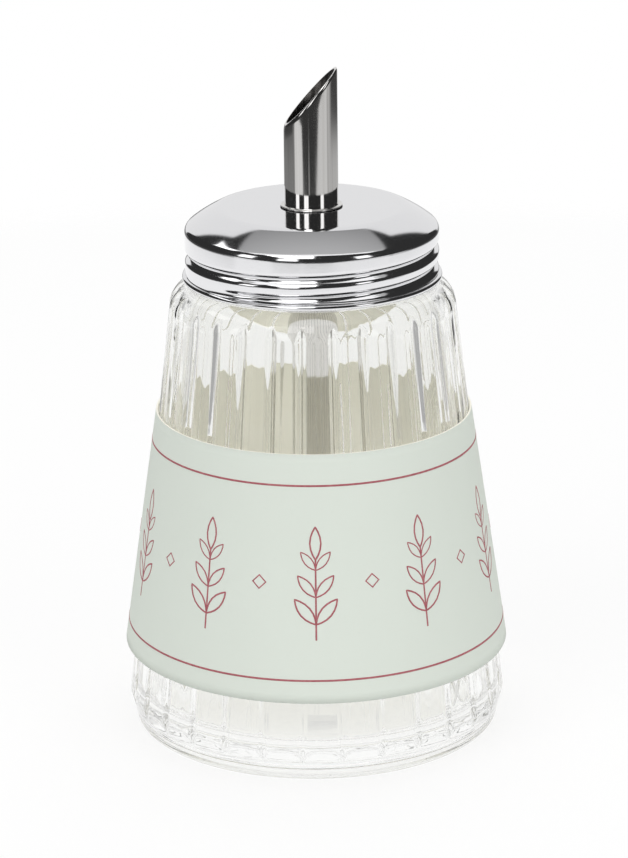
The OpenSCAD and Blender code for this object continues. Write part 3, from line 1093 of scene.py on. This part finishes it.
def makeFloor():
    edge = studio["floorEdge"]
    angles = ringAngles(96)
    ring = [(edge * math.cos(t), edge * math.sin(t), 0) for t in angles]
    floor = makePiece("floor", ring, [tuple(range(len(angles)))], smooth=False)
    settings = {"Roughness": 0.9, "Specular IOR Level": 0.0}
    material, tree, shader, place = startMaterial("paleFloor", settings)
    pale, dark = studio["floor"], studio["floor"] * studio["floorCloud"]
    paint(tree, shader, noise(tree, place, 6.0), (pale, pale, pale, 1), (dark, dark, dark, 1))
    # It glows for the camera and the metal, and less for what glass lets through
    rays = tree.nodes.new("ShaderNodeLightPath").outputs
    seen = calc(tree, "MAXIMUM", rays["Is Camera Ray"], rays["Is Glossy Ray"])
    throughGlow = calc(tree, "MULTIPLY", rays["Is Transmission Ray"], studio["floorThrough"])
    share = calc(tree, "MAXIMUM", calc(tree, "MULTIPLY", seen, studio["floorGlow"]), throughGlow)
    glow = addNode(tree, "ShaderNodeEmission", {"Color": (1, 1, 1, 1), "Strength": 1.0}).outputs[0]
    lit = mixShaders(tree, share, shader.outputs[0], glow)
    distance = addNode(tree, "ShaderNodeVectorMath", {0: place}, operation="LENGTH").outputs["Value"]
    gone = ease(tree, distance, studio["floorNear"], studio["floorFar"])
    clear = tree.nodes.new("ShaderNodeBsdfTransparent").outputs[0]
    wire(tree, mixShaders(tree, gone, lit, clear), tree.nodes["Material Output"].inputs["Surface"])
    coat(floor, material)


room = {
    "ambient": 0.52,   # what lights the matt surfaces from all sides
    "throughGlass": 0.42,
    "dark": 0.03,
    "backWall": 0.86,
    "ceiling": (0.49, 0.29),  # above the jar, and where it meets the back wall
    # Strip lights in front: degrees to the right of the front, and strength
    "strips": [(-69, -54, 1.6), (-31, -13, 1.6), (40, 54, 1.5)],
    "stripRise": (2, 30),
    # Soft boxes overhead: left, right, near and far side as shares of the height, and strength
    "boxes": [(-0.8, 0.8, -0.3, -0.06, 1.15), (-0.62, 0.02, -1.3, -0.35, 3.0),
              (-1.12, -0.76, 0.1, 0.72, 1.8)],
    # Past the edge of the floor, and just under that edge: degrees to the right of the front,
    # softness and strength
    "below": 0.24,
    "belowBands": [(75, 190, 5, 0.54), (10, 74, 3, 0.70), (-74, -36, 3, 0.80)],
    "edgeBands": [(-150, -82, 8, 0.06), (92, 160, 10, 0.06)],
    "darkMiddle": 0.045,
    "middleLine": 0.32,
}


def makeWorld():
    # White where the camera looks, even light for matt surfaces, and for metal the room above
    world = bpy.data.worlds.new("studio")
    bpy.context.scene.world = world
    world.use_nodes = True
    tree = world.node_tree
    tree.nodes.clear()
    ray = tree.nodes.new("ShaderNodeTexCoord").outputs["Generated"]
    x, y, z = addNode(tree, "ShaderNodeSeparateXYZ", {0: ray}).outputs
    side = calc(tree, "ABSOLUTE", x)

    def plane(a, b, c, sideways=x):
        # 1 where a*x + b*y + c*z is above 0, with a soft edge
        rest = calc(tree, "ADD", calc(tree, "MULTIPLY", y, b), calc(tree, "MULTIPLY", z, c))
        total = calc(tree, "ADD", calc(tree, "MULTIPLY", sideways, a), rest)
        return ease(tree, total, -0.02, 0.02)

    def allOf(*masks):
        result = masks[0]
        for mask in masks[1:]:
            result = calc(tree, "MULTIPLY", result, mask)
        return result

    def band(value, low, high, soft):
        past = ease(tree, value, high - soft, high + soft)
        return allOf(ease(tree, value, low - soft, low + soft), calc(tree, "SUBTRACT", 1.0, past))

    def lay(under, level, mask):
        return calc(tree, "MULTIPLY_ADD", mask, calc(tree, "SUBTRACT", level, under), under)

    # Degrees from the front, positive to the right, and degrees above the horizon
    frontTurn = calc(tree, "DEGREES", calc(tree, "ARCTAN2", x, calc(tree, "MULTIPLY", y, -1.0)))
    rise = calc(tree, "DEGREES", calc(tree, "ARCSINE", z))

    # Above the horizon: the wall, the ceiling and the lights
    wall = allOf(plane(-1.0, 0.53, 0.27, sideways=side), plane(0, 1.0, -0.66))
    light = lay(room["dark"], room["backWall"], wall)
    depth = calc(tree, "DIVIDE", y, calc(tree, "MAXIMUM", z, 0.05))
    tone = lay(*room["ceiling"], ease(tree, depth, 0.05, 0.66, "LINEAR"))
    ceiling = allOf(plane(0, -1.0, 0.66), plane(0, 1.0, 0.1), plane(-1.0, -0.75, 0.875, sideways=side))
    light = lay(light, tone, ceiling)
    stripBand = band(rise, *room["stripRise"], 3)
    for left, right, strength in room["strips"]:
        light = lay(light, strength, allOf(band(frontTurn, left, right, 1.5), stripBand))
    for left, right, near, far, strength in room["boxes"]:
        box = allOf(plane(1.0, 0, -left), plane(-1.0, 0, right), plane(0, 1.0, -near), plane(0, -1.0, far))
        light = lay(light, strength, box)

    # Below the horizon, past the edge of the floor: what the pouring tube mirrors
    low = room["below"]
    for left, right, soft, strength in room["belowBands"]:
        low = lay(low, strength, band(frontTurn, left, right, soft))
    half = calc(tree, "MULTIPLY_ADD", calc(tree, "ADD", rise, 13.5), 9.0, 31.0)
    fromMiddle = calc(tree, "ABSOLUTE", calc(tree, "ADD", frontTurn, 4.0))
    low = lay(low, room["darkMiddle"], ease(tree, calc(tree, "SUBTRACT", half, fromMiddle), -2.0, 2.0))
    thinLine = allOf(band(frontTurn, -11, -7, 1.5), ease(tree, rise, -13.2, -13.7))
    low = lay(low, room["middleLine"], thinLine)
    nearFloor = ease(tree, rise, -13.6, -12.7)
    for left, right, soft, strength in room["edgeBands"]:
        low = lay(low, strength, allOf(nearFloor, band(frontTurn, left, right, soft)))
    light = lay(light, low, ease(tree, rise, -3, -7))

    # Glass lets the eye through to the pale wall; only the room in front of it is grey
    throughGlow = lay(room["throughGlass"], 1.0, ease(tree, y, 0.1, 0.8))
    rays = tree.nodes.new("ShaderNodeLightPath").outputs
    strength = lay(room["ambient"], light, rays["Is Glossy Ray"])
    strength = lay(strength, throughGlow, rays["Is Transmission Ray"])
    strength = lay(strength, 1.0, rays["Is Camera Ray"])
    glow = addNode(tree, "ShaderNodeBackground", {"Color": (1, 1, 1, 1), "Strength": strength})
    wire(tree, glow.outputs[0], tree.nodes.new("ShaderNodeOutputWorld").inputs["Surface"])


def softLamp(name, place, aimZ, size, power):
    # Lights matt surfaces only; the metal and glass mirror the room instead
    data = bpy.data.lights.new(name, "AREA")
    data.size, data.energy = size, power
    lamp = addObject(name, data)
    turn = (Vector((0, 0, aimZ)) - Vector(place)).to_track_quat("-Z", "Y").to_matrix().to_4x4()
    lamp.matrix_world = Matrix.Translation(place) @ turn
    lamp.visible_camera = lamp.visible_glossy = lamp.visible_transmission = False


makeFloor()
makeWorld()
for name, values in studio["lamps"].items():
    softLamp(name, *values)
cycles = bpy.context.scene.cycles
cycles.max_bounces = cycles.glossy_bounces = cycles.transmission_bounces = studio["bounces"]
cycles.transparent_max_bounces = studio["bounces"]
bpy.context.scene.view_settings.view_transform = "Standard"
print("studio ready")
